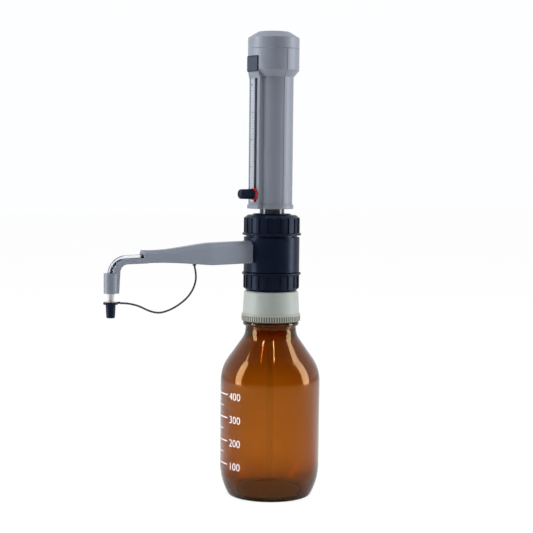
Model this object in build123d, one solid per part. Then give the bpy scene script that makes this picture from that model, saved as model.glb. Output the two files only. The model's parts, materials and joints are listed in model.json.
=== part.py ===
from build123d import *
import math
import os

# Bottle-top dispenser on its reagent bottle, in millimetres.
# +Z is up, the origin is the middle of the bottle's foot, and the discharge arm points along -X.
# Every piece is made where it sits, and the pieces meet through the values below.

# Fits and gaps
running_gap = 0.3        # between pieces that turn or slide past each other
thread_gap = 0.3         # room left between plain thread cores, which carry no thread here
push_gap = 0.05          # between pieces that are pushed together
sliding_fit = 0.06       # radial play of a shaft in its hole

# Bottle
body_radius = 43.0
bottle_wall = 2.3
heel_inset = 7.7         # how far inside the body the slanted heel would meet the floor
foot_edge_radius = 3.0
foot_recess = 2.0        # push-up under the bottle
foot_ring_width = 4.0
bottle_floor = 4.0       # thickness of the floor
heel_height = 15.1       # where the slanted heel would meet the body
heel_radius = 50.0
body_height = 110.2      # where the cone of the shoulder would meet the body
shoulder_radius = 36.0
shoulder_rise = 30.0     # from there up to where the cone would meet the neck
neck_root_radius = 15.0
neck_radius = 21.8
neck_rise = 7.6          # from there up to the bead
neck_wall = 5.3
bead_proud = 2.2
bead_thickness = 3.4
bead_edge = 1.2
thread_length = 22.7     # from the bead's top to the lip
thread_inset = 0.5       # the thread's core is this much slimmer than the neck
lip_edge = 1.0

# Thread adapter
adapter_wall = 2.8
adapter_taper = 1.0
adapter_top_fillet = 2.2
adapter_deck = 2.7       # between the gasket and the adapter's top
adapter_bore = 13.4
rim_proud = 1.0
rim_height = 6.3
rim_chamfer = 0.8
rim_edge = 0.4
spigot_radius = 17.0
spigot_height = 8.6
knurl_count = 72
knurl_width = 1.1
knurl_depth = 0.5
knurl_land = 1.1         # plain band above the knurls
gasket_thickness = 1.2

# Ribbed nuts
nut_radius = 24.1
nut_flange_proud = 1.2
nut_flange_height = 2.2
nut_flange_edge = 0.5
nut_flange_slope = 0.7
nut_chamfer_width = 3.2
nut_chamfer_height = 2.6
groove_count = 20
groove_width = 4.8
groove_depth = 0.9
nut_web = 3.3
collar_nut_height = 15.8
union_nut_height = 18.3
union_land_width = 7.0   # from the nut's side in to the rim of its raised top
union_land_height = 1.2

# Valve housing
housing_radius = 24.0
housing_height = 30.1
housing_edge = 0.6
waist_inset = 2.2
waist_height = 1.6
tail_flange_width = 3.0
tail_flange_height = 3.3
stub_inset = 3.0
stub_height = 11.3
seat_height = 4.3        # from the waist's top up to the seat of the cylinder

# Valves
valve_ball_radius = 2.5
ball_play = 0.15         # between a resting ball and its seat
ball_lift = 1.5
valve_bore = 1.1
chamber_gap = 0.4        # round the ball in its cage
valve_pocket_radius = 6.0
valve_insert_height = 21.2
valve_seat_height = 9.0  # from the insert's lower end up to the cone of the seat
nipple_radius = 1.95
nipple_length = 12.0
nipple_wall = 0.5
passage_radius = 2.2
outlet_rise = 18.2       # from the housing's bottom up to the outlet's axis
outlet_pocket_radius = 5.1
outlet_pocket_length = 15.0  # from the housing's side inwards
outlet_seat_offset = 1.5
outlet_nipple_length = 4.0
outlet_nipple_play = 0.2    # the tube slopes a little on its nipple

# Suction tube
suction_wall = 1.0
suction_clearance = 2.5  # from the tube's foot to the bottle's floor
suction_cut = 3.0        # height of the slanted cut at the tube's foot

# Cylinder and piston
stroke = 91.5            # full lift of the handle
cylinder_bore = 8.3
cylinder_wall = 2.35
cylinder_edge = 0.6
cylinder_foot_proud = 3.55
cylinder_foot_height = 4.5
cylinder_spare = 2.8     # glass above the piston at full lift
seal_thickness = 1.2
stop_ring_wall = 1.85
stop_ring_height = 4.0
stop_ring_drop = 2.0     # from the cylinder's top down to the ring
piston_length = 27.0
piston_play = 0.36       # radial play of the piston's core
piston_land = 2.2
piston_seal_height = 3.0
piston_seal_wall = 2.3
rod_radius = 3.5

# Handle
handle_wall = 2.0
carriage_thickness = 2.2  # of the block that runs between the stop ring and the handle's bore
ring_gap = 4.3           # between the upper nut and the ring under the handle
ring_floor = 1.3
ring_height = 3.4
ring_proud = 1.0
ring_lip = 1.5           # how far the ring reaches in under the shells
pad_proud = 1.7          # flat front face, proud of the round handle
pad_half_width = 8.5
pad_corner = 0.7
cone_gap = 1.3           # from the window's top to the cone
cone_height = 5.7
cone_edge = 0.6
head_flare = 4.7
head_floor_rise = 0.8
head_height = 17.3
seam_width = 0.5
seam_depth = 0.35

# Window, slot and scale
window_rise = 5.7        # from the ring's bottom to the window
window_depth = 1.2
slot_centre = -2.3
slot_width = 5.0
slot_spare = 2.7         # room above the pointer's key at its highest setting
strip_width = 6.5
strip_thickness = 0.8

# Head plate
plate_step = 2.3         # the plate's face is this far in front of the flat front
plate_rise = 5.3         # from the window's top to the plate
plate_thickness = 0.9
plate_height = 13.4
plate_half_width = 8.4
plate_corner = 1.0

# Top cap
cap_edge_height = 9.3
cap_edge = 0.8
cap_bevel_width = 8.6
cap_height = 15.4
cap_crown = 0.9          # the crown's rise above its own edge
cap_skirt_wall = 2.0
cap_roof = 3.0

# Rod fixing in the head
carrier_thickness = 4.0
rod_collar_radius = 6.0
rod_collar_height = 4.0
rod_nut_width = 13.0
rod_nut_height = 6.0
rod_end = 3.0            # length of rod above the nut

# Volume pointer and its clamp
pointer_rise = 12.6      # from the ring's bottom to the pointer's axis
pointer_radius = 5.2
pointer_thickness = 1.6
key_half_height = 4.0
key_depth = 4.2          # how far the key reaches in from the flat front
carriage_height = 10.0
carriage_reach = 5.6     # half width of the carriage, to each side of the slot
stud_radius = 1.5
stud_length = 4.6        # from the pointer's face inwards
knob_radius = 4.5
knob_taper = 0.4
knob_length = 13.4
knob_foot_edge = 0.4
knob_tip_fillet = 1.8
flute_count = 10
flute_radius = 0.75
flute_start = 1.6

# Discharge arm: reaches are from the bottle's axis, rises and drops from the outlet's axis
nozzle_reach = 153.0
nozzle_drop = 3.8        # the tube's line meets the nozzle's axis this far below the outlet
bend_radius = 13.0
tube_radius = 2.9
tube_bore = 1.6
tube_gap = 0.12
tube_start_gap = 0.15    # room for the tube's slightly slanted end
arm_sink = 3.8           # how deep the arm's root sits in the housing
arm_seat_gap = 0.15
open_length = 28.4       # of the arm's open end, back from the nozzle's axis
channel_half_width = 4.6
channel_floor = 4.0      # from the tube's line to the arm's underside at the bend
arm_low_edge = 1.2
arm_bevel_share = 0.62   # width of the bevel on the arm's top, as a share of its height
inner_corner = 6.5
leg_depth = 5.4          # from the nozzle's axis to the inner face of the leg's lower end
leg_taper = 1.3          # the leg is this much deeper under the bend
collar_radius = 5.7
collar_drop = 11.1       # from the tube's line to the collar's top
collar_height = 16.2

# The arm's section at three places: distance back from the end of its closed part,
# top's rise, underside's drop, half width, bevel height
wide_section = (62.0, 7.9, 10.6, 6.8, 3.6)
neck_section = (44.6, 6.0, 9.1, 6.0, 3.4)
slim_section = (24.6, 3.7, 7.7, 5.2, 3.0)
root_rise = 8.8
root_drop = 10.0
end_rise = 3.3
end_drop = 7.5
end_bevel = 2.6

# Nozzle cap
cap_fit = 0.1
tip_show = 7.1           # tube seen between the collar and the cap
tip_insertion = 8.7
nozzle_cap_height = 12.9
nozzle_cap_flange = 1.9
nozzle_cap_flange_width = 2.0
nozzle_cap_radius = 4.05
nozzle_cap_taper = 0.55
nozzle_cap_edge = 0.9
nozzle_cap_floor = 2.0
lug_radius = 0.9
lug_drop = 0.8           # from the cap's top to the lug's axis
lug_root = 0.8           # how far the lug runs into the flange

# Strap from the cap to the arm: reach back from the nozzle's axis, and drop below the outlet's axis
strap_radius = 0.8
anchor_radius = 1.5
anchor_height = 3.0
anchor_drop = 0.8        # how far the anchor shows below the arm
anchor_gap = 0.2         # room for the slanted end of the strap
strap_route = [
    (8.6, 39.4),
    (20.2, 39.7),
    (40.0, 49.6),
    (53.3, 47.7),
    (66.0, 41.2),
    (73.4, 34.7),
    (78.0, 26.6),
    (79.0, 18),
    (77.1, 11.05),
]

# Radii that follow from the sizes above
foot_radius = body_radius - heel_inset
thread_core_radius = neck_radius - thread_inset
bottle_bore = neck_radius - neck_wall
adapter_radius = thread_core_radius + thread_gap + adapter_wall
tail_flange_radius = spigot_radius + thread_gap - 2 * running_gap
tail_radius = tail_flange_radius - tail_flange_width
nut_flange_radius = nut_radius + nut_flange_proud
waist_radius = housing_radius - waist_inset
stub_radius = waist_radius - stub_inset
cylinder_radius = cylinder_bore + cylinder_wall
cylinder_foot_radius = cylinder_radius + cylinder_foot_proud
stop_ring_radius = cylinder_radius + stop_ring_wall
suction_bore = nipple_radius + push_gap
suction_radius = suction_bore + suction_wall
handle_bore = stop_ring_radius + running_gap + carriage_thickness + running_gap
handle_radius = handle_bore + handle_wall
head_radius = handle_radius + head_flare
head_bore = head_radius - handle_wall
pad_face = handle_radius + pad_proud
plate_face = pad_face + plate_step

# Heights and reaches that follow from the sizes above
neck_root_height = body_height + shoulder_rise
bead_bottom = neck_root_height + neck_rise
bead_top = bead_bottom + bead_thickness
lip_height = bead_top + thread_length
adapter_bottom = bead_top + running_gap
gasket_top = lip_height + gasket_thickness
adapter_top = gasket_top + adapter_deck
spigot_top = adapter_top + spigot_height
collar_nut_top = adapter_top + collar_nut_height
collar_web_bottom = collar_nut_top - nut_web
housing_bottom = collar_nut_top + running_gap
housing_top = housing_bottom + housing_height
tail_flange_top = collar_web_bottom - running_gap
tail_bottom = tail_flange_top - tail_flange_height
waist_top = housing_top + waist_height
stub_top = waist_top + stub_height
seal_bottom = waist_top + seat_height
cylinder_bottom = seal_bottom + seal_thickness
cylinder_top = cylinder_bottom + stroke + piston_length + cylinder_spare
cylinder_foot_top = cylinder_bottom + cylinder_foot_height
union_nut_top = waist_top + union_nut_height
valve_top = tail_bottom + valve_insert_height
piston_bottom = seal_bottom + running_gap
piston_top = piston_bottom + piston_length
ring_bottom = union_nut_top + ring_gap
shell_bottom = ring_bottom + ring_floor
pointer_height = ring_bottom + pointer_rise
window_bottom = ring_bottom + window_rise
window_top = pointer_height + stroke + key_half_height + slot_spare
cone_bottom = window_top + cone_gap
cone_top = cone_bottom + cone_height
head_floor = cone_top + head_floor_rise
head_top = head_floor + head_height
plate_bottom = window_top + plate_rise
carrier_top = head_floor + carrier_thickness
rod_top = carrier_top + rod_nut_height + rod_end
total_height = head_top + cap_height
outlet_height = housing_bottom + outlet_rise
nozzle_line_height = outlet_height - nozzle_drop
collar_top = nozzle_line_height - collar_drop
collar_bottom = collar_top - collar_height
nozzle_cap_top = collar_bottom - tip_show
nozzle_cap_bottom = nozzle_cap_top - nozzle_cap_height
tube_end = nozzle_cap_top - tip_insertion
arm_root = housing_radius - arm_sink
outlet_pocket_end = housing_radius - outlet_pocket_length
outlet_shoulder = arm_root - 0.8
closed_end = nozzle_reach - open_length
leg_reach = nozzle_reach - leg_depth


def outline(points, plane=Plane.XZ):
    """Closed face through (across, up) points, each with an optional corner radius."""
    corners = [(p[0], p[1]) for p in points]
    radii = [p[2] if len(p) > 2 else 0 for p in points]
    wire = FilletPolyline(*corners, radius=radii, close=True)
    return make_face(plane * wire)


def lathe(points):
    """Solid turned about the vertical axis from (radius, height) points."""
    return revolve(outline(points), Axis.Z)


def drum(radius, bottom, top):
    """Upright cylinder on the vertical axis, from its bottom to its top."""
    return Pos(0, 0, (bottom + top) / 2) * Cylinder(radius, top - bottom)


def block(x_range, y_range, z_range):
    """Box between the given low and high values."""
    sizes = [high - low for low, high in (x_range, y_range, z_range)]
    middle = [(high + low) / 2 for low, high in (x_range, y_range, z_range)]
    return Pos(*middle) * Box(*sizes)


def rod_along_x(radius, start, end, y=0.0, z=0.0):
    """Cylinder that lies along X between two distances."""
    return Pos((start + end) / 2, y, z) * Rot(0, 90, 0) * Cylinder(radius, end - start)


def make_bottle():
    """Amber glass bottle: heel, body, shoulder, bead and neck, hollow with an even wall."""
    outside = lathe([
        (0, 0),
        (foot_radius, 0, foot_edge_radius),
        (body_radius, heel_height, heel_radius),
        (body_radius, body_height, shoulder_radius),
        (neck_radius, neck_root_height, neck_root_radius),
        (neck_radius, bead_bottom),
        (neck_radius + bead_proud, bead_bottom, bead_edge),
        (neck_radius + bead_proud, bead_top, bead_edge),
        (thread_core_radius, bead_top),
        (thread_core_radius, lip_height, lip_edge),
        (0, lip_height),
    ])
    inner_radius = body_radius - bottle_wall
    shoulder_drop = bottle_wall * 0.5
    inside = lathe([
        (0, bottle_floor),
        (foot_radius - bottle_wall, bottle_floor, foot_edge_radius),
        (inner_radius, heel_height + bottle_wall, heel_radius - bottle_wall),
        (inner_radius, body_height - shoulder_drop, shoulder_radius - bottle_wall),
        (bottle_bore, neck_root_height + bottle_wall, neck_root_radius),
        (bottle_bore, lip_height + 1),
        (0, lip_height + 1),
    ])
    recess = Cone(foot_radius - foot_ring_width, foot_radius - 2 * foot_ring_width, 2 * foot_recess)
    return outside - inside - recess


def make_thread_adapter():
    """Adapter with a knurled rim, a cup over the bottle's neck and a spigot for the collar nut."""
    rim_top = adapter_bottom + rim_height
    rim_radius = adapter_radius + rim_proud
    body = lathe([
        (adapter_bore, gasket_top),
        (thread_core_radius + thread_gap, gasket_top),
        (thread_core_radius + thread_gap, adapter_bottom),
        (rim_radius - rim_chamfer, adapter_bottom),
        (rim_radius, adapter_bottom + rim_chamfer),
        (rim_radius, rim_top, rim_edge),
        (adapter_radius, rim_top + rim_edge),
        (adapter_radius - adapter_taper, adapter_top, adapter_top_fillet),
        (spigot_radius, adapter_top),
        (spigot_radius, spigot_top),
        (adapter_bore, spigot_top),
    ])
    notch = Pos(rim_radius, 0, adapter_bottom) * Box(2 * knurl_depth, knurl_width, 2 * (rim_height - knurl_land))
    return body - [Rot(0, 0, 360 * i / knurl_count) * notch for i in range(knurl_count)]


def make_adapter_gasket():
    """Flat ring between the bottle's lip and the adapter."""
    return drum(thread_core_radius, lip_height, gasket_top) - drum(bottle_bore, lip_height, gasket_top)


def grooves(low, high):
    """Grip grooves of a ribbed nut, all round, between two heights."""
    cut = Pos(nut_radius, 0, (low + high) / 2) * Box(2 * groove_depth, groove_width, high - low)
    return [Rot(0, 0, 360 * i / groove_count) * cut for i in range(groove_count)]


def make_collar_nut():
    """Lower ribbed nut: screwed on the adapter's spigot, it holds the housing by its tail."""
    flange_bottom = collar_nut_top - nut_flange_height
    bore = spigot_radius + thread_gap
    body = lathe([
        (bore, adapter_top),
        (nut_radius - nut_chamfer_width, adapter_top),
        (nut_radius, adapter_top + nut_chamfer_height),
        (nut_radius, flange_bottom),
        (nut_flange_radius, flange_bottom + nut_flange_slope),
        (nut_flange_radius, collar_nut_top, nut_flange_edge),
        (tail_radius + running_gap, collar_nut_top),
        (tail_radius + running_gap, collar_web_bottom),
        (bore, collar_web_bottom),
    ])
    return body - grooves(adapter_top - 1, flange_bottom)


def make_union_nut():
    """Upper ribbed nut: it clamps the foot of the glass cylinder in the housing."""
    flange_top = waist_top + nut_flange_height
    shoulder = union_nut_top - union_land_height
    land = nut_radius - union_land_width - union_land_height
    body = lathe([
        (stub_radius + thread_gap, waist_top),
        (nut_flange_radius, waist_top, nut_flange_edge),
        (nut_flange_radius, flange_top - nut_flange_slope),
        (nut_radius, flange_top),
        (nut_radius, shoulder - nut_chamfer_height),
        (nut_radius - nut_chamfer_width, shoulder),
        (land + union_land_height, shoulder),
        (land, union_nut_top),
        (cylinder_radius + running_gap, union_nut_top),
        (cylinder_radius + running_gap, cylinder_foot_top),
        (cylinder_foot_radius, cylinder_foot_top),
        (cylinder_foot_radius, stub_top + running_gap),
        (stub_radius + thread_gap, stub_top + running_gap),
    ])
    return body - grooves(flange_top, union_nut_top + 1)


def section_face(section, grow=0.0):
    """Face across the arm: flat sides, bevelled top edges and small lower edges."""
    back, rise, drop, half_width, bevel = section
    reach = closed_end - back
    side = half_width + grow
    top = outlet_height + rise + grow
    bottom = outlet_height - drop - grow
    bevel_width = bevel * arm_bevel_share
    corners = [
        (-side, bottom + arm_low_edge),
        (-side + arm_low_edge, bottom),
        (side - arm_low_edge, bottom),
        (side, bottom + arm_low_edge),
        (side, top - bevel),
        (side - bevel_width, top),
        (-side + bevel_width, top),
        (-side, top - bevel),
    ]
    return make_face(Polyline(*[(-reach, across, up) for across, up in corners], close=True))


def arm_sections():
    """The arm's sections from its root to the end of its closed part."""
    _, _, _, half_width, bevel = wide_section
    return [
        (closed_end - arm_root, root_rise, root_drop, half_width, bevel),
        wide_section,
        neck_section,
        slim_section,
        (0, end_rise, end_drop, channel_half_width, end_bevel),
    ]


def make_valve_housing():
    """Dark cylinder with the valve pockets, the flow passages and the seats of its neighbours."""
    body = lathe([
        (0, tail_bottom),
        (tail_flange_radius, tail_bottom),
        (tail_flange_radius, tail_flange_top),
        (tail_radius, tail_flange_top),
        (tail_radius, housing_bottom),
        (housing_radius, housing_bottom, housing_edge),
        (housing_radius, housing_top, housing_edge),
        (waist_radius, housing_top),
        (waist_radius, waist_top),
        (stub_radius, waist_top),
        (stub_radius, stub_top),
        (cylinder_foot_radius + push_gap, stub_top),
        (cylinder_foot_radius + push_gap, seal_bottom),
        (0, seal_bottom),
    ])
    body -= drum(valve_pocket_radius, tail_bottom - 1, valve_top)
    body -= drum(passage_radius, valve_top - 1, seal_bottom + 1)
    body -= rod_along_x(passage_radius, -outlet_pocket_end - 1, 0, z=outlet_height)
    body -= rod_along_x(outlet_pocket_radius, -housing_radius - 1, -outlet_pocket_end, z=outlet_height)
    root = section_face(arm_sections()[0], grow=arm_seat_gap)
    return body - extrude(root, housing_radius, dir=(-1, 0, 0))


def ball_seat(direction=1):
    """Distances along a valve, from the start of its cone: ball centre, cone end and cage end."""
    centre = (valve_ball_radius + ball_play) * math.sqrt(2) - valve_bore
    cone = valve_ball_radius + chamber_gap - valve_bore
    cage = centre + ball_lift + valve_ball_radius + running_gap
    return direction * centre, direction * cone, direction * cage


def make_filling_valve():
    """Insert of the suction valve: nipple for the tube, cone seat and cage of the ball."""
    centre, cone, cage = ball_seat()
    chamber = valve_ball_radius + chamber_gap
    start = tail_bottom + valve_seat_height
    body = lathe([
        (valve_bore, tail_bottom - nipple_length),
        (nipple_radius, tail_bottom - nipple_length),
        (nipple_radius, tail_bottom),
        (valve_pocket_radius - push_gap, tail_bottom),
        (valve_pocket_radius - push_gap, valve_top),
        (valve_bore, valve_top),
        (valve_bore, start + cage),
        (chamber, start + cage),
        (chamber, start + cone),
        (valve_bore, start),
    ])
    return body


def make_filling_ball():
    """Ball of the suction valve, just above its seat."""
    centre, _, _ = ball_seat()
    return Pos(0, 0, tail_bottom + valve_seat_height + centre) * Sphere(valve_ball_radius)


def make_discharge_valve():
    """Insert of the outlet valve, which lies in the housing in line with the arm."""
    _, cone, cage = ball_seat()
    chamber = valve_ball_radius + chamber_gap
    seat = outlet_pocket_end + outlet_seat_offset
    outer = outlet_pocket_radius - push_gap
    nipple = tube_bore - outlet_nipple_play
    nipple_end = outlet_shoulder + outlet_nipple_length
    profile = outline([
        (seat + cage, valve_bore),
        (seat + cage, chamber),
        (seat + cone, chamber),
        (seat, valve_bore),
        (outlet_pocket_end, valve_bore),
        (outlet_pocket_end, outer),
        (outlet_shoulder, outer),
        (outlet_shoulder, nipple),
        (nipple_end, nipple),
        (nipple_end, nipple - nipple_wall),
        (outlet_shoulder - nipple_wall, nipple - nipple_wall),
        (outlet_shoulder - nipple_wall, valve_bore),
    ])
    turned = revolve(profile, Axis.X)
    return Pos(0, 0, outlet_height) * Rot(0, 0, 180) * turned


def make_discharge_ball():
    """Ball of the outlet valve, just off its seat."""
    centre, _, _ = ball_seat()
    seat = outlet_pocket_end + outlet_seat_offset
    return Pos(-seat - centre, 0, outlet_height) * Sphere(valve_ball_radius)


def make_suction_tube():
    """Straight tube from the suction valve to just above the bottle's floor, cut at a slant."""
    foot = bottle_floor + suction_clearance
    tube = drum(suction_radius, foot, tail_bottom) - drum(suction_bore, foot - 1, tail_bottom + 1)
    tilt = math.degrees(math.atan2(suction_cut, 2 * suction_radius))
    wedge = Pos(0, 0, foot + suction_cut / 2) * Rot(0, tilt, 0) * Pos(0, 0, -10) * Box(30, 30, 20)
    return tube - wedge


def make_cylinder_seal():
    """Flat seal between the housing and the foot of the glass cylinder."""
    ring = drum(cylinder_foot_radius, seal_bottom, cylinder_bottom)
    return ring - drum(cylinder_bore, seal_bottom - 1, cylinder_bottom + 1)


def make_glass_cylinder():
    """Glass cylinder with its foot flange."""
    return lathe([
        (cylinder_bore, cylinder_bottom),
        (cylinder_foot_radius - push_gap, cylinder_bottom),
        (cylinder_foot_radius - push_gap, cylinder_foot_top, cylinder_edge),
        (cylinder_radius, cylinder_foot_top),
        (cylinder_radius, cylinder_top, cylinder_edge),
        (cylinder_bore, cylinder_top, cylinder_edge),
    ])


def make_stop_ring():
    """Ring near the cylinder's top that the pointer's carriage stops at."""
    top = cylinder_top - stop_ring_drop
    ring = drum(stop_ring_radius, top - stop_ring_height, top)
    return ring - drum(cylinder_radius + push_gap, top - stop_ring_height - 1, top + 1)


def seal_levels():
    """Bottom heights of the piston's seal rings."""
    return [piston_bottom + piston_land, piston_top - piston_land - piston_seal_height]


def make_piston():
    """Piston core with a groove for each seal and a hole for the rod."""
    body = drum(cylinder_bore - piston_play, piston_bottom, piston_top)
    for level in seal_levels():
        top = level + piston_seal_height
        body -= drum(cylinder_bore, level, top) - drum(cylinder_bore - piston_seal_wall, level, top)
    return body - drum(rod_radius, piston_top - piston_length / 2, piston_top + 1)


def make_piston_seal():
    """The two sliding rings in the piston's grooves."""
    rings = []
    for level in seal_levels():
        top = level + piston_seal_height
        ring = drum(cylinder_bore - sliding_fit, level, top)
        rings.append(ring - drum(cylinder_bore - piston_seal_wall, level - 1, top + 1))
    return Compound(children=rings)


def make_piston_rod():
    """Rod from the piston to the head, with a collar under the carrier."""
    rod = drum(rod_radius, piston_top - piston_length / 2, rod_top)
    return rod + drum(rod_collar_radius, head_floor - rod_collar_height, head_floor)


def make_rod_carrier():
    """Disc between the two halves of the head, which the rod hangs from."""
    disc = drum(head_bore - push_gap, head_floor, carrier_top)
    return disc - drum(rod_radius + sliding_fit, head_floor - 1, carrier_top + 1)


def make_rod_nut():
    """Hexagon nut on the rod: turning it sets the rod's length."""
    hexagon = extrude(RegularPolygon(rod_nut_width / 2, 6, major_radius=False), rod_nut_height)
    nut = Pos(0, 0, carrier_top) * hexagon
    return nut - drum(rod_radius + push_gap, carrier_top - 1, carrier_top + rod_nut_height + 1)


def pad_profile():
    """Side profile of the flat front: straight pad, slanted step and the head's flat."""
    inside = -handle_bore + handle_wall
    head_front = -plate_face + plate_thickness
    flat_top = plate_bottom + plate_height
    return [
        (inside, shell_bottom),
        (-pad_face, shell_bottom),
        (-pad_face, window_top),
        (head_front, plate_bottom),
        (head_front, flat_top),
        (inside, flat_top),
    ]


def make_handle_shell():
    """Whole outer tube of the handle with its flat front, before it is parted in two halves."""
    body = lathe([
        (0, shell_bottom),
        (handle_radius, shell_bottom),
        (handle_radius, cone_bottom),
        (head_radius, cone_top, cone_edge),
        (head_radius, head_top, seam_depth),
        (0, head_top),
    ])
    pad = extrude(outline(pad_profile()), pad_half_width, both=True)
    upright = pad.edges().filter_by(Axis.Z)
    front_edges = upright.filter_by(lambda edge: edge.center().X < -pad_face + push_gap)
    body += fillet(front_edges, pad_corner)
    flat_top = plate_bottom + plate_height
    behind_plate = -plate_face + plate_thickness
    side = plate_half_width + push_gap
    body -= block((-head_radius - 1, behind_plate), (-side, side), (plate_bottom, flat_top + push_gap))
    body -= drum(handle_bore, shell_bottom - 1, head_floor + 1)
    body -= drum(head_bore, head_floor, head_top + 1)
    return cut_window(body)


def cut_window(body):
    """Recess for the scale strip and the slot that the pointer's key runs in."""
    floor = -pad_face + window_depth
    slot_low = slot_centre - slot_width / 2
    slot_high = slot_centre + slot_width / 2
    body -= block((-pad_face - 1, floor), (slot_low, slot_high + strip_width), (window_bottom, window_top))
    return body - block((-pad_face - 1, 0), (slot_low, slot_high), (window_bottom, window_top))


def seam_grooves():
    """Shallow grooves that show the joint of the two halves, outside the tube and the head."""
    half = seam_width / 2
    cutter = outline([
        (handle_radius - seam_depth, shell_bottom - 1),
        (handle_radius - seam_depth, cone_bottom),
        (head_radius - seam_depth, cone_top),
        (head_radius - seam_depth, head_top + 1),
        (head_radius + 2, head_top + 1),
        (head_radius + 2, shell_bottom - 1),
    ], Plane.YZ)
    one = extrude(cutter, half, both=True)
    return [one, Rot(0, 0, 180) * one]


def make_front_shell(shell):
    """Front half of the handle, with the pad, window, slot and plate seat."""
    half = block((-2 * head_radius, 0), (-2 * head_radius, 2 * head_radius), (shell_bottom, head_top))
    return shell & half


def make_rear_shell(shell):
    """Rear half of the handle."""
    half = block((0, 2 * head_radius), (-2 * head_radius, 2 * head_radius), (shell_bottom, head_top))
    return shell & half


def make_base_ring():
    """Ring under the handle that holds both halves and follows the flat front."""
    low, middle, high = ring_bottom, shell_bottom, ring_bottom + ring_height
    outer = drum(handle_radius + ring_proud, low, high)
    pad = block((-pad_face - ring_proud, 0), (-pad_half_width - ring_proud, pad_half_width + ring_proud), (low, high))
    pad_edges = pad.edges().filter_by(Axis.Z).group_by(Axis.X)[0]
    outer += fillet(pad_edges, pad_corner + ring_proud)
    seat = drum(handle_radius + push_gap, middle, high + 1)
    edge = pad_half_width + push_gap
    seat_pad = block((-pad_face - push_gap, 0), (-edge, edge), (middle, high + 1))
    seat_edges = seat_pad.edges().filter_by(Axis.Z).group_by(Axis.X)[0]
    seat += fillet(seat_edges, pad_corner)
    return outer - seat - drum(handle_bore - ring_lip, low - 1, middle + 1)


def make_scale_strip():
    """Light strip in the window, beside the slot."""
    floor = -pad_face + window_depth
    low = slot_centre + slot_width / 2 + push_gap
    high = low + strip_width - 2 * push_gap
    return block(
        (floor - strip_thickness, floor),
        (low, high),
        (window_bottom + push_gap, window_top - push_gap),
    )


def make_head_plate():
    """Bare dark plate on the head's flat."""
    plate = block(
        (-plate_face, -plate_face + plate_thickness),
        (-plate_half_width, plate_half_width),
        (plate_bottom, plate_bottom + plate_height),
    )
    return fillet(plate.edges().filter_by(Axis.X), plate_corner)


def make_top_cap():
    """Bevelled cap: its skirt keeps the two halves together and holds the carrier down."""
    skirt_outer = head_bore - push_gap
    skirt_inner = skirt_outer - cap_skirt_wall
    crown_radius = head_radius - cap_bevel_width
    crown_edge = total_height - cap_crown
    return lathe([
        (0, total_height),
        (crown_radius, crown_edge, cap_edge),
        (head_radius, head_top + cap_edge_height, cap_edge),
        (head_radius, head_top, seam_depth),
        (skirt_outer, head_top),
        (skirt_outer, carrier_top),
        (skirt_inner, carrier_top),
        (skirt_inner, head_top + cap_edge_height - cap_roof),
        (crown_radius - cap_roof, crown_edge - cap_roof),
        (0, crown_edge - cap_roof),
    ])


def carriage_faces():
    """Inner and outer radius of the carriage, between the stop ring and the handle's bore."""
    return stop_ring_radius + running_gap, handle_bore - running_gap


def pointer_back():
    """Distance from the axis to the pointer's back, just off the flat front."""
    return pad_face + running_gap


def make_pointer_carriage():
    """Curved block behind the slot."""
    inner, outer = carriage_faces()
    low = pointer_height - carriage_height / 2
    high = pointer_height + carriage_height / 2
    ring = drum(outer, low, high) - drum(inner, low - 1, high + 1)
    side = block((-head_radius, 0), (slot_centre - carriage_reach, slot_centre + carriage_reach), (low, high))
    return (ring & side) - stud_hole()


def stud_hole():
    """Hole for the clamp stud through the pointer and its carriage."""
    return rod_along_x(stud_radius + sliding_fit, -pad_face - 10, 0, y=slot_centre, z=pointer_height)


def make_volume_pointer():
    """Red disc on the flat front, with the key that runs in the slot down to the carriage."""
    back = pointer_back()
    disc = rod_along_x(pointer_radius, -back - pointer_thickness, -back, y=slot_centre, z=pointer_height)
    reach = slot_width / 2 - running_gap
    key = block(
        (-back, -pad_face + key_depth),
        (slot_centre - reach, slot_centre + reach),
        (pointer_height - key_half_height, pointer_height + key_half_height),
    )
    _, outer = carriage_faces()
    curved = drum(outer, pointer_height - carriage_height, pointer_height + carriage_height)
    return disc + (key - curved) - stud_hole()


def make_clamp_stud():
    """Threaded stud of the knob, through the pointer into the carriage."""
    front = pointer_back() + pointer_thickness
    return rod_along_x(stud_radius, -front - knob_length / 2, -front + stud_length, y=slot_centre, z=pointer_height)


def make_adjuster_knob():
    """Fluted clamp knob with a rounded end."""
    start = pointer_back() + pointer_thickness + push_gap
    profile = outline([
        (start, 0),
        (start, knob_radius, knob_foot_edge),
        (start + knob_length, knob_radius - knob_taper, knob_tip_fillet),
        (start + knob_length, 0),
    ])
    knob = revolve(profile, Axis.X)
    middle = start + flute_start + knob_length / 2
    flute = Pos(middle, 0, knob_radius) * Rot(0, 90, 0) * Cylinder(flute_radius, knob_length)
    knob -= [Rot(360 * i / flute_count, 0, 0) * flute for i in range(flute_count)]
    knob -= rod_along_x(stud_radius, start - 1, start + knob_length / 2 - push_gap)
    return Pos(0, slot_centre, pointer_height) * Rot(0, 0, 180) * knob


def tube_path(end_height):
    """Line of the delivery tube: along the arm, round the bend and down the nozzle."""
    return FilletPolyline(
        (-outlet_shoulder - tube_start_gap, 0, outlet_height),
        (-nozzle_reach, 0, nozzle_line_height),
        (-nozzle_reach, 0, end_height),
        radius=bend_radius,
    )


def round_sweep(radius, path):
    """Round bar along a path."""
    start = Plane(origin=path @ 0, z_dir=path % 0)
    return sweep(start * Circle(radius), path)


def make_delivery_tube():
    """Clear tube from the outlet valve through the arm, round the bend and out as the tip."""
    path = tube_path(tube_end)
    return round_sweep(tube_radius, path) - round_sweep(tube_bore, path)


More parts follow.
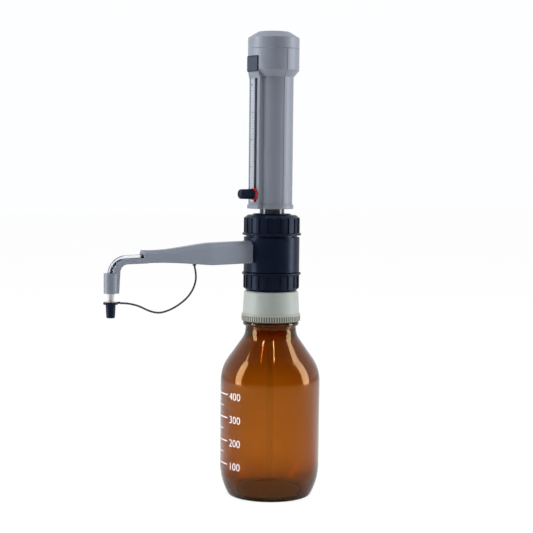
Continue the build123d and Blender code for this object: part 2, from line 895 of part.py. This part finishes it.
def arm_closed_part():
    """Closed part of the arm: a straight wide root and a taper to the bend."""
    faces = [section_face(section) for section in arm_sections()]
    root = loft(faces[:2], ruled=True)
    taper = loft(faces[1:])
    return root + taper


def arm_bend():
    """Channel of the bend and its leg, drawn from the side and as wide as the channel."""
    corner = Vector(-nozzle_reach, nozzle_line_height)
    line = Vector(-outlet_shoulder - tube_start_gap, outlet_height) - corner
    slope = line.Y / line.X
    start = closed_end - 3
    level = nozzle_line_height + slope * (nozzle_reach - start)
    side = outline([
        (-start, level),
        (-nozzle_reach, nozzle_line_height, bend_radius),
        (-nozzle_reach, collar_bottom),
        (-leg_reach, collar_bottom),
        (leg_taper - leg_reach, nozzle_line_height - channel_floor, inner_corner),
        (-start, outlet_height - end_drop),
    ])
    return extrude(side, channel_half_width, both=True)


def make_arm_shroud():
    """Grey discharge arm: closed box, open bend channel, leg and round nozzle collar."""
    body = arm_closed_part() + arm_bend()
    body += Pos(-nozzle_reach, 0, 0) * drum(collar_radius, collar_bottom, collar_top)
    body -= round_sweep(tube_radius + tube_gap, tube_path(collar_bottom - 2))
    return body - anchor_solid(push_gap)


def anchor_solid(grow=0.0):
    """Plug of the strap, pushed into the arm from below."""
    end = strap_points()[-1]
    bottom = end.Z + anchor_gap
    return Pos(end.X, 0, 0) * drum(anchor_radius + grow, bottom, bottom + anchor_drop + anchor_height)


def make_nozzle_cap():
    """Cap on the tip, with a flange and the lug that the strap leaves from."""
    flange_bottom = nozzle_cap_top - nozzle_cap_flange
    flange_radius = nozzle_cap_radius + nozzle_cap_flange_width
    cap_rounding = nozzle_cap_flange / 4
    bore = tube_radius + cap_fit
    body = lathe([
        (0, nozzle_cap_bottom),
        (nozzle_cap_radius - nozzle_cap_taper, nozzle_cap_bottom, nozzle_cap_edge),
        (nozzle_cap_radius, flange_bottom),
        (flange_radius, flange_bottom, cap_rounding),
        (flange_radius, nozzle_cap_top, cap_rounding),
        (bore, nozzle_cap_top),
        (bore, nozzle_cap_bottom + nozzle_cap_floor),
        (0, nozzle_cap_bottom + nozzle_cap_floor),
    ])
    lug_start = flange_radius - nozzle_reach - lug_root
    lug_end = strap_points()[0].X - running_gap
    lug = rod_along_x(lug_radius, lug_start, lug_end, z=nozzle_cap_top - lug_drop)
    return Pos(-nozzle_reach, 0, 0) * body + lug


def strap_points():
    """The strap's route in space."""
    return [Vector(back - nozzle_reach, 0, outlet_height - drop) for back, drop in strap_route]


def strap_radii():
    """Radius of each arc of the strap: as large as its two runs allow."""
    points = strap_points()
    radii = []
    for before, here, after in zip(points, points[1:], points[2:]):
        turn = math.radians((here - before).get_angle(after - here))
        shorter = min((here - before).length, (after - here).length)
        radii.append(0.45 * shorter / math.tan(turn / 2))
    return radii


def make_cap_strap():
    """Strap from the cap's lug to its anchor, along its real route."""
    path = FilletPolyline(*strap_points(), radius=strap_radii())
    strap = round_sweep(strap_radius, path)
    expected = math.pi * strap_radius ** 2 * path.length
    print("strap radii", [round(r, 1) for r in strap_radii()])
    print("strap length", round(path.length, 1), "volume", round(strap.volume, 1), "expected", round(expected, 1))
    return strap


def build():
    """Every piece of the dispenser by its node's name."""
    shell = make_handle_shell() - seam_grooves()
    return {
        "bottle": make_bottle(),
        "adapter_gasket": make_adapter_gasket(),
        "thread_adapter": make_thread_adapter(),
        "collar_nut": make_collar_nut(),
        "valve_housing": make_valve_housing(),
        "filling_valve": make_filling_valve(),
        "filling_ball": make_filling_ball(),
        "suction_tube": make_suction_tube(),
        "discharge_valve": make_discharge_valve(),
        "discharge_ball": make_discharge_ball(),
        "cylinder_seal": make_cylinder_seal(),
        "glass_cylinder": make_glass_cylinder(),
        "stop_ring": make_stop_ring(),
        "union_nut": make_union_nut(),
        "arm_shroud": make_arm_shroud(),
        "delivery_tube": make_delivery_tube(),
        "strap_anchor": anchor_solid(),
        "cap_strap": make_cap_strap(),
        "nozzle_cap": make_nozzle_cap(),
        "front_shell": make_front_shell(shell),
        "rear_shell": make_rear_shell(shell),
        "base_ring": make_base_ring(),
        "scale_strip": make_scale_strip(),
        "head_plate": make_head_plate(),
        "top_cap": make_top_cap(),
        "rod_carrier": make_rod_carrier(),
        "piston_rod": make_piston_rod(),
        "rod_nut": make_rod_nut(),
        "piston": make_piston(),
        "piston_seal": make_piston_seal(),
        "pointer_carriage": make_pointer_carriage(),
        "volume_pointer": make_volume_pointer(),
        "clamp_stud": make_clamp_stud(),
        "adjuster_knob": make_adjuster_knob(),
    }


os.makedirs("parts", exist_ok=True)
for name, solid in build().items():
    export_step(solid, os.path.join("parts", name + ".step"))
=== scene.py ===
import json
import math

import bpy
from mathutils import Matrix, Vector


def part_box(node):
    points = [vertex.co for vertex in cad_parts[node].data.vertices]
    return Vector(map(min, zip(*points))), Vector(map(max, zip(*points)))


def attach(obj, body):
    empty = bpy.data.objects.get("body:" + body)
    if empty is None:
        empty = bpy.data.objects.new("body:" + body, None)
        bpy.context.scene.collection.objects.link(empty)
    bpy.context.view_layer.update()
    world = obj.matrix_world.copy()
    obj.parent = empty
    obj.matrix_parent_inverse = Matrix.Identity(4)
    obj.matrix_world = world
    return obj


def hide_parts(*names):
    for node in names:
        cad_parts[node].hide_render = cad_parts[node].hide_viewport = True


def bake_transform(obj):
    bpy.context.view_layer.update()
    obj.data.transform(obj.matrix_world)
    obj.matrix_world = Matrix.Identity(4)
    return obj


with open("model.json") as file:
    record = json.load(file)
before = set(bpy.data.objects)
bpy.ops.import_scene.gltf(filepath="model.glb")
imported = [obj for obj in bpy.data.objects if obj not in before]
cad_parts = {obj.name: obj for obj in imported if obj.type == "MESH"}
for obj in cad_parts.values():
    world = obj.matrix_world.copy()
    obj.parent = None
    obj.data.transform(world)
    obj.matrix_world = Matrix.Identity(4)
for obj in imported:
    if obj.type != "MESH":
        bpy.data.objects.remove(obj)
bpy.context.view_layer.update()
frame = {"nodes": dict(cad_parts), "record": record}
mm = 0.001

# Where the camera stands, as a compass of the object
to_camera = Vector((-0.530, -0.848, 0.0))
to_right = Vector((0.848, -0.530, 0.0))


class Value:
    """A number that changes over a surface; sums and products of it add their nodes."""

    def __init__(self, finish, socket):
        self.finish = finish
        self.socket = socket

    def __add__(self, other):
        return self.finish.math("ADD", self, other)

    def __radd__(self, other):
        return self.finish.math("ADD", other, self)

    def __sub__(self, other):
        return self.finish.math("SUBTRACT", self, other)

    def __rsub__(self, other):
        return self.finish.math("SUBTRACT", other, self)

    def __mul__(self, other):
        return self.finish.math("MULTIPLY", self, other)

    def __rmul__(self, other):
        return self.finish.math("MULTIPLY", other, self)


class Nodes:
    """The nodes of one material or of the world."""

    def __init__(self, tree):
        self.tree = tree
        tree.nodes.clear()

    def add(self, kind, settings=None, values=None):
        """A node of this kind: its settings first, then the values or links of its sockets."""
        node = self.tree.nodes.new(kind)
        for name, value in (settings or {}).items():
            if name == "stops":
                self.set_stops(node.color_ramp, value)
            else:
                setattr(node, name, value)
        for name, value in (values or {}).items():
            self.feed(node.inputs[name], value)
        return node

    def set_stops(self, ramp, stops):
        while len(ramp.elements) < len(stops):
            ramp.elements.new(1.0)
        for element, (place, colour) in zip(ramp.elements, stops):
            element.position = place
            element.color = (*colour, 1.0)

    def feed(self, socket, value):
        if isinstance(value, Value):
            self.tree.links.new(value.socket, socket)
        elif isinstance(value, bpy.types.NodeSocket):
            self.tree.links.new(value, socket)
        elif isinstance(value, tuple) and len(value) == 3 and socket.type == "RGBA":
            socket.default_value = (*value, 1.0)
        else:
            socket.default_value = value

    def math(self, operation, first, second):
        node = self.add("ShaderNodeMath", {"operation": operation}, {0: first, 1: second})
        return Value(self, node.outputs[0])

    def clamp(self, value, low=0.0, high=1.0):
        node = self.add("ShaderNodeClamp", None, {"Value": value, "Min": low, "Max": high})
        return Value(self, node.outputs[0])

    def smooth(self, value, low, high):
        """0 below low, 1 above high and a soft step between them."""
        node = self.add(
            "ShaderNodeMapRange",
            {"interpolation_type": "SMOOTHSTEP"},
            {"Value": value, "From Min": low, "From Max": high},
        )
        return Value(self, node.outputs[0])

    def mix(self, amount, first, second):
        """A colour between two colours."""
        node = self.add(
            "ShaderNodeMix",
            {"data_type": "RGBA", "clamp_factor": True},
            {0: amount, 6: first, 7: second},
        )
        return node.outputs[2]

    def axes(self):
        """The place of a point in the object's own frame, as three values in metres."""
        place = self.add("ShaderNodeTexCoord").outputs["Object"]
        parts = self.add("ShaderNodeSeparateXYZ", None, {0: place})
        return [Value(self, out) for out in parts.outputs]

    def noise(self, scale, detail=2.0, roughness=0.5, stretch=(1.0, 1.0, 1.0)):
        """Soft noise from 0 to 1; scale is how many lumps there are in a metre."""
        place = self.add("ShaderNodeTexCoord").outputs["Object"]
        stretched = self.add(
            "ShaderNodeVectorMath", {"operation": "MULTIPLY"}, {0: place, 1: stretch}
        )
        node = self.add(
            "ShaderNodeTexNoise",
            {"noise_dimensions": "3D"},
            {"Vector": stretched.outputs[0], "Scale": scale, "Detail": detail, "Roughness": roughness},
        )
        return Value(self, node.outputs[0])

    def bump(self, height, depth, strength=1.0):
        """Surface relief: height from 0 to 1 stands for a depth in metres."""
        node = self.add(
            "ShaderNodeBump", None, {"Height": height, "Distance": depth, "Strength": strength}
        )
        return node.outputs[0]


class Finish(Nodes):
    """One material with one main shader."""

    def __init__(self, name, **sockets):
        self.material = bpy.data.materials.new(name)
        self.material.use_nodes = True
        super().__init__(self.material.node_tree)
        self.shader = self.principled(sockets)
        self.output = self.add("ShaderNodeOutputMaterial", None, {"Surface": self.shader.outputs[0]})

    def principled(self, sockets):
        named = {name.replace("_", " "): value for name, value in sockets.items()}
        return self.add("ShaderNodeBsdfPrincipled", None, named)

    def set(self, **sockets):
        for name, value in sockets.items():
            self.feed(self.shader.inputs[name.replace("_", " ")], value)
        return self


def moulded(name, colour, rough, grain=0.00001, shade=0.10):
    """Injection-moulded plastic: fine spark-eroded grain, faint flow marks and handling shine."""
    finish = Finish(name, Specular_IOR_Level=0.5)
    clouds = finish.noise(38.0, 3.0, 0.55)
    grains = finish.noise(2600.0, 2.0, 0.6)
    rubbed = finish.noise(120.0, 4.0, 0.6, (1.0, 1.0, 0.35))
    darker = tuple(part * (1.0 - shade) for part in colour)
    lighter = tuple(min(1.0, part * (1.0 + 0.6 * shade)) for part in colour)
    tone = finish.clamp(clouds * 0.75 + grains * 0.25)
    relief = grains * 0.7 + rubbed * 0.3
    return finish.set(
        Base_Color=finish.mix(tone, darker, lighter),
        Roughness=finish.clamp(rough - 0.05 + rubbed * 0.12, 0.05, 0.95),
        Normal=finish.bump(relief, grain),
    )


def grey_handle():
    """Blue-grey satin plastic of the handle, its cap and the arm."""
    return moulded("moulded_blue_grey", (0.172, 0.191, 0.232), 0.42)


# Knurled rim of the adapter, and the radii between which painted shade darkens its grooves
rim_top = 157.7 * mm
rim_blend = 0.5 * mm
knurl_root_radius = 25.0 * mm
knurl_tip_radius = 25.3 * mm


def pale_adapter():
    """Pale green-grey plastic of the screw adapter, yellower at its rim, with painted shade darkening the
    grooves of its knurls.
    """
    finish = moulded("moulded_pale_grey", (0.42, 0.455, 0.43), 0.48)
    across, along, height = finish.axes()
    radius = finish.math("POWER", across * across + along * along, 0.5)
    # Painted shade: inside the knurl tip radius the grooves are darkened as if shade falls in them
    painted_groove_shade = 1.0 - finish.smooth(radius, knurl_root_radius, knurl_tip_radius)
    clouds = finish.noise(45.0, 3.0, 0.6)
    rim = 1.0 - finish.smooth(height, rim_top - rim_blend, rim_top + rim_blend)
    plain = finish.mix(clouds, (0.285, 0.31, 0.285), (0.335, 0.36, 0.335))
    aged = finish.mix(clouds, (0.275, 0.28, 0.235), (0.33, 0.335, 0.285))
    # The near-black colour mixed in here is painted shade in the knurl grooves
    rim_with_painted_groove_shade = finish.mix(painted_groove_shade, aged, (0.085, 0.085, 0.070))
    return finish.set(Base_Color=finish.mix(rim, plain, rim_with_painted_groove_shade))


def navy_plastic(name, rough):
    """Near-black blue plastic with a soft gloss and a few pale rubbed spots."""
    finish = Finish(name, Specular_IOR_Level=0.17, Specular_Tint=(0.50, 0.66, 1.0))
    clouds = finish.noise(60.0, 3.0, 0.6)
    grains = finish.noise(2200.0, 2.0, 0.55)
    worn = finish.noise(240.0, 5.0, 0.65)
    spots = finish.smooth(worn, 0.60, 0.78)
    plain = finish.mix(clouds, (0.0020, 0.0035, 0.0105), (0.0040, 0.0065, 0.0170))
    return finish.set(
        Base_Color=finish.mix(spots * 0.35, plain, (0.018, 0.025, 0.044)),
        Roughness=finish.clamp(rough + spots * 0.12 + clouds * 0.06 - 0.03, 0.05, 0.95),
        Normal=finish.bump(grains, 0.000008),
    )


def satin_plate():
    """Bare dark blue-grey plate, finely brushed, with a darker rim."""
    finish = Finish("satin_dark_plate", Specular_IOR_Level=0.22)
    brushed = finish.noise(700.0, 3.0, 0.6, (1.0, 1.0, 0.06))
    _, across, height = finish.axes()
    low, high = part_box("head_plate")
    half_height = (high.z - low.z) / 2
    rim_start, rim_full = 1.1 * mm, 0.5 * mm
    from_middle = finish.math("ABSOLUTE", height - (low.z + high.z) / 2, 0.0)
    from_centre = finish.math("ABSOLUTE", across, 0.0)
    upper = finish.smooth(from_middle, half_height - rim_start, half_height - rim_full)
    outer = finish.smooth(from_centre, high.y - rim_start, high.y - rim_full)
    rim = finish.clamp(upper + outer)
    face = finish.mix(brushed, (0.024, 0.031, 0.052), (0.036, 0.045, 0.070))
    return finish.set(
        Base_Color=finish.mix(rim, face, (0.004, 0.006, 0.014)),
        Roughness=finish.clamp(0.36 + brushed * 0.12),
        Normal=finish.bump(brushed, 0.00001),
    )


def red_pointer():
    """Bright red moulded plastic of the volume pointer."""
    return moulded("moulded_red", (0.52, 0.006, 0.012), 0.33, shade=0.2)


def scale_paint():
    """Pale satin strip under the scale marks, slightly mottled by handling."""
    return moulded("scale_strip_grey", (0.315, 0.345, 0.390), 0.4, grain=0.000005, shade=0.08)


def dark_insides():
    """Plain dark technical plastic of the piston, carrier and carriage."""
    return moulded("moulded_charcoal", (0.018, 0.021, 0.028), 0.5, shade=0.25)


def waxy_white():
    """Waxy white fluoroplastic of the seals and valve inserts."""
    finish = moulded("waxy_white", (0.72, 0.72, 0.69), 0.38, shade=0.05)
    finish.set(Subsurface_Weight=0.15, Subsurface_Scale=0.002)
    return finish


def turned_steel():
    """Turned stainless steel with fine rings from the lathe."""
    finish = Finish("turned_steel", Specular_IOR_Level=0.5)
    rings = finish.noise(1800.0, 2.0, 0.5, (0.02, 0.02, 1.0))
    clouds = finish.noise(90.0, 3.0, 0.6)
    return finish.set(
        Base_Color=finish.mix(clouds, (0.50, 0.51, 0.52), (0.60, 0.60, 0.60)),
        Metallic=1.0,
        Roughness=finish.clamp(0.22 + rings * 0.16),
        Normal=finish.bump(rings, 0.000006),
    )


def soft_rubber():
    """Dark blue elastomer of the strap and its plug: matt, with a faint bloom."""
    finish = Finish("dark_elastomer", Specular_IOR_Level=0.45)
    bloom = finish.noise(420.0, 4.0, 0.65)
    fine = finish.noise(3000.0, 2.0, 0.5)
    return finish.set(
        Base_Color=finish.mix(bloom, (0.006, 0.009, 0.022), (0.012, 0.017, 0.034)),
        Roughness=finish.clamp(0.46 + bloom * 0.14),
        Normal=finish.bump(fine, 0.000008),
    )


def glass(name, surface, absorbed, density, rough, wave, index=1.5):
    """Blown or drawn glass: colour comes from its thickness, and its skin is slightly wavy."""
    finish = Finish(
        name,
        Base_Color=surface,
        Transmission_Weight=1.0,
        IOR=index,
    )
    ripples = finish.noise(26.0, 2.0, 0.5, (1.0, 1.0, 0.35))
    dust = finish.noise(900.0, 3.0, 0.7)
    finish.set(
        Roughness=finish.clamp(rough + finish.smooth(dust, 0.62, 0.85) * 0.05),
        Normal=finish.bump(ripples, wave),
    )
    if density:
        depth = finish.add(
            "ShaderNodeVolumeAbsorption", None, {"Color": absorbed, "Density": density}
        )
        finish.feed(finish.output.inputs["Volume"], depth.outputs[0])
    return finish


def amber_glass():
    """Brown reagent glass: its reflections are warm because its skin is stained too."""
    finish = glass("amber_glass", (1.0, 0.80, 0.45), (0.842, 0.712, 0.02), 1820.0, 0.015, 0.0003)
    return finish.set(Specular_Tint=(1.0, 0.62, 0.22), Specular_IOR_Level=0.30)


def clear_glass():
    """Glass cylinder in a dark, clear protective skin."""
    finish = glass("coated_cylinder_glass", (0.040, 0.052, 0.074), None, 0.0, 0.08, 0.00003, 1.47)
    return finish.set(Transmission_Weight=0.06)


def ball_glass():
    return glass("polished_ball_glass", (0.93, 0.96, 0.96), (0.9, 0.95, 0.97), 20.0, 0.01, 0.000004, 1.5)


def clear_tube(name, index):
    """Clear fluoropolymer tube."""
    finish = Finish(name, Base_Color=(0.95, 0.96, 0.99), Transmission_Weight=1.0, IOR=index)
    haze = finish.noise(300.0, 3.0, 0.6, (1.0, 1.0, 0.3))
    finish.set(
        Roughness=finish.clamp(0.04 + haze * 0.10),
        Normal=finish.bump(haze, 0.00004),
    )
    return finish


# Heights between which the tube in the arm turns milky
milky_below = 188 * mm
clear_above = 195 * mm


def arm_tube():
    """Tube in the arm, which turns milky at the nozzle's tip."""
    finish = clear_tube("clear_fluoropolymer", 1.18)
    haze = finish.noise(300.0, 3.0, 0.6, (1.0, 1.0, 0.3))
    milky = finish.principled(
        {"Specular_IOR_Level": 0.5, "Subsurface_Weight": 0.1, "Subsurface_Scale": 0.002}
    )
    finish.feed(milky.inputs["Base Color"], finish.mix(haze, (0.50, 0.50, 0.48), (0.62, 0.62, 0.60)))
    finish.feed(milky.inputs["Roughness"], finish.clamp(0.32 + haze * 0.16))
    _, _, height = finish.axes()
    tip = 1.0 - finish.smooth(height, milky_below, clear_above)
    both = finish.add(
        "ShaderNodeMixShader", None, {0: tip, 1: finish.shader.outputs[0], 2: milky.outputs[0]}
    )
    finish.feed(finish.output.inputs["Surface"], both.outputs[0])
    return finish


def white_print():
    """White ceramic print on the bottle, thin in places."""
    finish = Finish("white_ceramic_print", Specular_IOR_Level=0.4)
    worn = finish.noise(900.0, 4.0, 0.7)
    return finish.set(
        Base_Color=finish.mix(finish.smooth(worn, 0.5, 0.8), (0.86, 0.86, 0.84), (0.68, 0.62, 0.54)),
        Roughness=finish.clamp(0.45 + worn * 0.2),
        Normal=finish.bump(worn, 0.00001),
    )


def scale_ink():
    """Dark ink of the volume scale."""
    finish = Finish("scale_ink", Specular_IOR_Level=0.35)
    worn = finish.noise(1200.0, 3.0, 0.6)
    return finish.set(
        Base_Color=finish.mix(worn, (0.055, 0.062, 0.080), (0.095, 0.105, 0.128)),
        Roughness=finish.clamp(0.45 + worn * 0.15),
        Normal=finish.bump(worn, 0.000004),
    )


def dress_pieces():
    """Give each CAD piece its own finish, or else that of its slot."""
    for part in frame["record"]["subparts"]:
        piece = frame["nodes"][part["node"]]
        finish = piece_finishes.get(part["node"], finishes[part["material_slot"]])
        piece.data.materials.clear()
        piece.data.materials.append(finish.material)


def mesh_piece(name, vertices, faces, material, body):
    """A flat-faced mesh of its own that moves with a body."""
    mesh = bpy.data.meshes.new(name)
    mesh.from_pydata([tuple(point) for point in vertices], [], faces)
    mesh.update()
    mesh.materials.append(material)
    piece = bpy.data.objects.new(name, mesh)
    bpy.context.scene.collection.objects.link(piece)
    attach(piece, body)


def flat_text(words, size):
    """Points and faces of a word laid flat with thinned strokes, from the origin, in metres."""
    curve = bpy.data.curves.new("figures", "FONT")
    curve.body = words
    curve.size = size
    curve.offset = -0.007 * size
    curve.resolution_u = 3
    holder = bpy.data.objects.new("figures", curve)
    bpy.context.scene.collection.objects.link(holder)
    bpy.context.view_layer.update()
    mesh = bpy.data.meshes.new_from_object(holder)
    points = [point.co.copy() for point in mesh.vertices]
    faces = [tuple(face.vertices) for face in mesh.polygons]
    bpy.data.objects.remove(holder)
    bpy.data.meshes.remove(mesh)
    bpy.data.curves.remove(curve)
    return points, faces


# Strap from the nozzle's cap to the arm
strap_radius = 0.8 * mm
strap_route = [
    (-144.4, 172.7),
    (-132.8, 172.4),
    (-113.0, 162.5),
    (-99.7, 164.4),
    (-87.0, 170.9),
    (-79.6, 177.4),
    (-75.0, 185.5),
    (-74.0, 194.1),
    (-75.9, 201.05),
]


def make_strap(material):
    """Thin elastic strap: it hangs from the arm and joins the cap."""
    curve = bpy.data.curves.new("tether_line", "CURVE")
    curve.dimensions = "3D"
    curve.resolution_u = 12
    curve.use_fill_caps = True
    spline = curve.splines.new("NURBS")
    spline.points.add(len(strap_route) - 1)
    for point, (x, z) in zip(spline.points, strap_route):
        point.co = (x * mm, 0.0, z * mm, 1.0)
    spline.order_u = 3
    spline.use_endpoint_u = True
    holder = bpy.data.objects.new("tether_line", curve)
    bpy.context.scene.collection.objects.link(holder)
    bpy.context.view_layer.update()
    line = bpy.data.meshes.new_from_object(holder)
    curve.bevel_depth = strap_radius
    curve.bevel_resolution = 4
    bpy.context.view_layer.update()
    mesh = bpy.data.meshes.new_from_object(holder)
    bpy.data.objects.remove(holder)
    mesh.materials.clear()
    mesh.materials.append(material)
    for face in mesh.polygons:
        face.use_smooth = True
    strap = bpy.data.objects.new("cap_tether", mesh)
    bpy.context.scene.collection.objects.link(strap)
    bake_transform(strap)
    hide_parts("cap_strap")


# White print on the bottle: height of the mark for 100, the step to the next hundred, and
# where marks and figures start and end, in degrees to the left of the camera's side
bottle_radius = 43.0 * mm
print_proud = 0.08 * mm
first_mark = 30.2 * mm
mark_step = 20.0 * mm
figure_height = 6.4 * mm
long_mark_start = 57.0
short_mark_start = 67.0
mark_far_end = 93.0
figure_angle = 53.5
figure_drop = 0.62 * figure_height
long_mark_width = 0.75 * mm
short_mark_width = 0.6 * mm
mark_pieces = 12

# Height of a capital letter, as a share of the type size
capital_share = 0.7


def on_bottle(angle, height):
    """Point on the bottle's side, at an angle in degrees to the left of the camera's side."""
    turn = math.radians(angle)
    direction = math.cos(turn) * to_camera - math.sin(turn) * to_right
    return direction * (bottle_radius + print_proud) + Vector((0, 0, height))


def make_bottle_print(material):
    vertices = []
    faces = []

    def add_mark(height, start, width):
        base = len(vertices)
        for step in range(mark_pieces + 1):
            angle = start + (mark_far_end - start) * step / mark_pieces
            vertices.append(on_bottle(angle, height - width / 2))
            vertices.append(on_bottle(angle, height + width / 2))
        for step in range(mark_pieces):
            corner = base + 2 * step
            faces.append((corner, corner + 1, corner + 3, corner + 2))

    for hundred in range(1, 5):
        height = first_mark + (hundred - 1) * mark_step
        add_mark(height, long_mark_start, long_mark_width)
        if hundred < 4:
            add_mark(height + mark_step / 2, short_mark_start, short_mark_width)
        points, loops = flat_text(str(hundred * 100), figure_height / capital_share)
        base = len(vertices)
        for point in points:
            angle = figure_angle - math.degrees(point.x / bottle_radius)
            vertices.append(on_bottle(angle, height + point.y - figure_drop))
        faces.extend(tuple(base + corner for corner in loop) for loop in loops)
    mesh_piece("bottle_graduation", vertices, faces, material, "bottle")


# Marks of the volume scale: the pointer's height at nothing and the rise for half a unit
scale_zero = 260.8 * mm
scale_step = 2.311 * mm
scale_marks = 40
ink_proud = 0.03 * mm
strip_margin = 0.5 * mm
scale_figure_size = 2.6 * mm
scale_figure_drop = 0.9 * mm


def make_scale_marks(material):
    """Printed volume scale: a short mark for each step and plain figures at each fifth unit."""
    low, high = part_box("scale_strip")
    face = low.x - ink_proud
    left, right = high.y - strip_margin, low.y + strip_margin
    vertices = []
    faces = []

    def add_mark(height, length, width):
        base = len(vertices)
        for across in (right, right + length):
            vertices.append(Vector((face, across, height - width / 2)))
            vertices.append(Vector((face, across, height + width / 2)))
        faces.append((base, base + 1, base + 3, base + 2))

    for count in range(1, scale_marks + 1):
        height = scale_zero + count * scale_step
        whole = count % 2 == 0
        numbered = count % 10 == 0
        length = 3.4 * mm if numbered else 2.8 * mm if whole else 2.0 * mm
        add_mark(height, length, 0.42 * mm if whole else 0.32 * mm)
        if numbered:
            points, loops = flat_text(str(count // 2), scale_figure_size)
            base = len(vertices)
            for point in points:
                vertices.append(Vector((face, left - point.x, height + point.y - scale_figure_drop)))
            faces.extend(tuple(base + corner for corner in loop) for loop in loops)
    mesh_piece("volume_scale_marks", vertices, faces, material, "handle")


# Camera as fitted to the photograph, in metres, millimetres of lens and degrees of roll
camera_distance = 1.244
camera_side = -0.0042
camera_height = 0.2898
aim_height = 0.1982
camera_lens = 97.7
camera_roll = 0.62


def set_camera():
    camera = bpy.data.cameras.new("camera")
    camera.lens = camera_lens
    camera.sensor_width = 36.0
    camera.clip_end = 20.0
    holder = bpy.data.objects.new("camera", camera)
    bpy.context.scene.collection.objects.link(holder)
    place = to_camera * camera_distance + to_right * camera_side + Vector((0, 0, camera_height))
    aim = to_right * camera_side + Vector((0, 0, aim_height))
    look = (aim - place).to_track_quat("-Z", "Y").to_matrix().to_4x4()
    roll = Matrix.Rotation(math.radians(camera_roll), 4, "Z")
    holder.matrix_world = Matrix.Translation(place) @ look @ roll
    bpy.context.scene.camera = holder


def make_floor():
    """Pale seamless floor that stays white around the bottle and keeps its soft shadow."""
    glow_share, glow_strength = 0.86, 1.06
    finish = Finish("studio_floor", Roughness=0.9, Specular_IOR_Level=0.1)
    clouds = finish.noise(3.0, 2.0, 0.5)
    finish.set(Base_Color=finish.mix(clouds, (0.86, 0.86, 0.865), (0.89, 0.89, 0.89)))
    rays = finish.add("ShaderNodeLightPath").outputs
    seen = Value(finish, rays["Is Camera Ray"])
    glow = finish.add("ShaderNodeEmission", None, {"Color": (1.0, 1.0, 1.0), "Strength": glow_strength})
    both = finish.add(
        "ShaderNodeMixShader",
        None,
        {0: seen * glow_share, 1: finish.shader.outputs[0], 2: glow.outputs[0]},
    )
    finish.feed(finish.output.inputs["Surface"], both.outputs[0])
    reach = 6.0
    mesh = bpy.data.meshes.new("studio_floor")
    corners = [(-reach, -reach, 0), (reach, -reach, 0), (reach, reach, 0), (-reach, reach, 0)]
    mesh.from_pydata(corners, [], [(0, 1, 2, 3)])
    mesh.materials.append(finish.material)
    floor = bpy.data.objects.new("studio_floor", mesh)
    bpy.context.scene.collection.objects.link(floor)


def light_studio():
    """White tent that is darker on the camera's side, with two tall soft boxes and two thin strips."""
    front_dimming, tent_strength = 0.92, 0.95
    world = bpy.data.worlds.new("white_tent")
    world.use_nodes = True
    bpy.context.scene.world = world
    nodes = Nodes(world.node_tree)
    direction = nodes.add("ShaderNodeTexCoord").outputs["Generated"]
    towards = nodes.add(
        "ShaderNodeVectorMath", {"operation": "DOT_PRODUCT"}, {0: direction, 1: tuple(to_camera)}
    ).outputs["Value"]
    front = nodes.smooth(Value(nodes, towards), -0.35, 0.6)
    rays = nodes.add("ShaderNodeLightPath").outputs
    camera_ray = Value(nodes, rays["Is Camera Ray"])
    tent = 1.0 - front * front_dimming
    level = camera_ray + (1.0 - camera_ray) * tent * tent_strength
    background = nodes.add(
        "ShaderNodeBackground", None, {"Color": (0.985, 0.992, 1.0), "Strength": level}
    )
    nodes.add("ShaderNodeOutputWorld", None, {"Surface": background.outputs[0]})
    for name, side, ahead, up, width, tall, power in (
        ("left_soft_box", -1.15, 0.25, 0.55, 0.4, 1.3, 16.0),
        ("right_soft_box", 1.15, 0.00, 0.55, 0.45, 1.3, 15.0),
        ("left_top_strip", -0.30, 0.34, 1.35, 0.05, 0.5, 4.0),
        ("right_top_strip", 0.12, 0.40, 1.35, 0.03, 0.5, 2.0),
    ):
        lamp = bpy.data.lights.new(name, "AREA")
        lamp.shape = "RECTANGLE"
        lamp.size = width
        lamp.size_y = tall
        lamp.energy = power
        lamp.color = (0.96, 0.98, 1.0)
        holder = bpy.data.objects.new(name, lamp)
        bpy.context.scene.collection.objects.link(holder)
        place = to_right * side + to_camera * ahead + Vector((0, 0, up))
        aim = Vector((0, 0, 0.22))
        look = (aim - place).to_track_quat("-Z", "Y").to_matrix().to_4x4()
        holder.matrix_world = Matrix.Translation(place) @ look
    bpy.context.scene.view_settings.view_transform = "Standard"


finishes = {
    "amber_glass": amber_glass(),
    "clear_glass": clear_glass(),
    "ball_glass": ball_glass(),
    "adapter_grey": pale_adapter(),
    "navy_ribbed": navy_plastic("navy_ribbed_plastic", 0.36),
    "navy_smooth": navy_plastic("navy_smooth_plastic", 0.30),
    "plate_navy": satin_plate(),
    "handle_grey": grey_handle(),
    "scale_pale": scale_paint(),
    "pointer_red": red_pointer(),
    "dark_plastic": dark_insides(),
    "seal_white": waxy_white(),
    "clear_tube": arm_tube(),
    "strap_rubber": soft_rubber(),
    "steel": turned_steel(),
}
piece_finishes = {"suction_tube": clear_tube("wetted_fluoropolymer", 1.05)}

set_camera()
make_strap(finishes["strap_rubber"].material)
dress_pieces()
make_bottle_print(white_print().material)
make_scale_marks(scale_ink().material)
make_floor()
light_studio()
